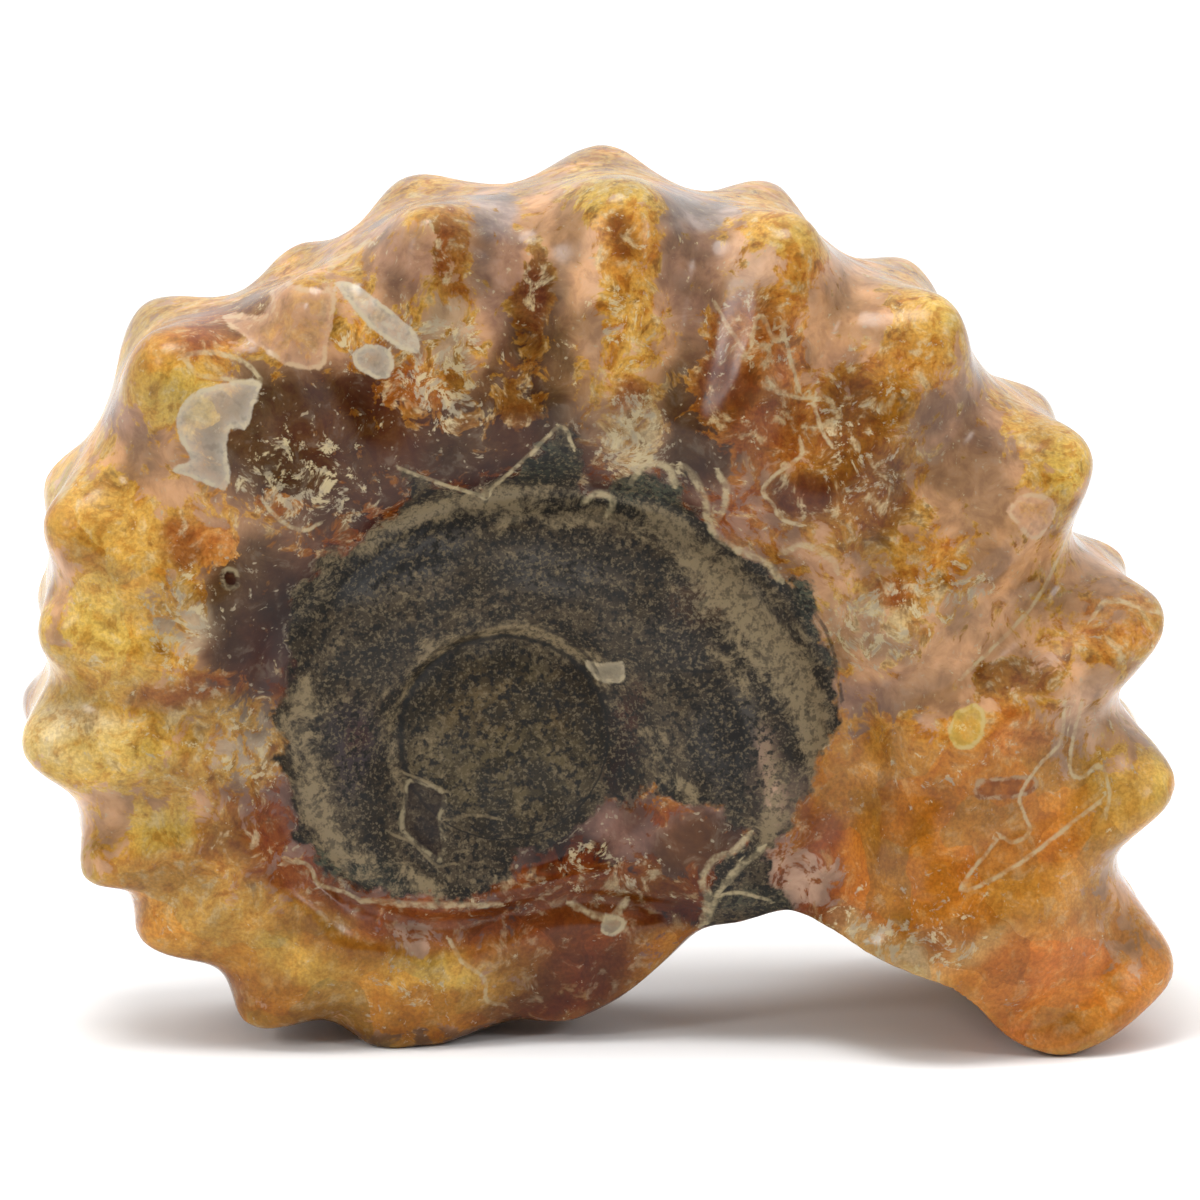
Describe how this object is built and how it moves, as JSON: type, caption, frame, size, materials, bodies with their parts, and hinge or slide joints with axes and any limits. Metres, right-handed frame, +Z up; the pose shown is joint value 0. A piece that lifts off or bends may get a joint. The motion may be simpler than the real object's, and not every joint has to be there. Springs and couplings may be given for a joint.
{
  "type": "polished ammonite fossil",
  "caption": "Polished ammonite fossil: a ribbed, tubercled last whorl around a dark inner whorl, broken off at its opening, standing upright on two small flats.",
  "frame": {"origin": "middle of the bounding box's length and thickness, on the surface that the fossil stands on", "axes": "+X along the length, towards the opening; +Y through the thickness, away from the side the picture shows; +Z up"},
  "size_m": [0.0784, 0.0332, 0.0598],
  "materials": {
    "ammonite": "polished translucent amber calcite with a dark granular matrix in the inner whorl"
  },
  "bodies": {
    "root": {"ammonite": "ammonite"}
  },
  "joints": []
}
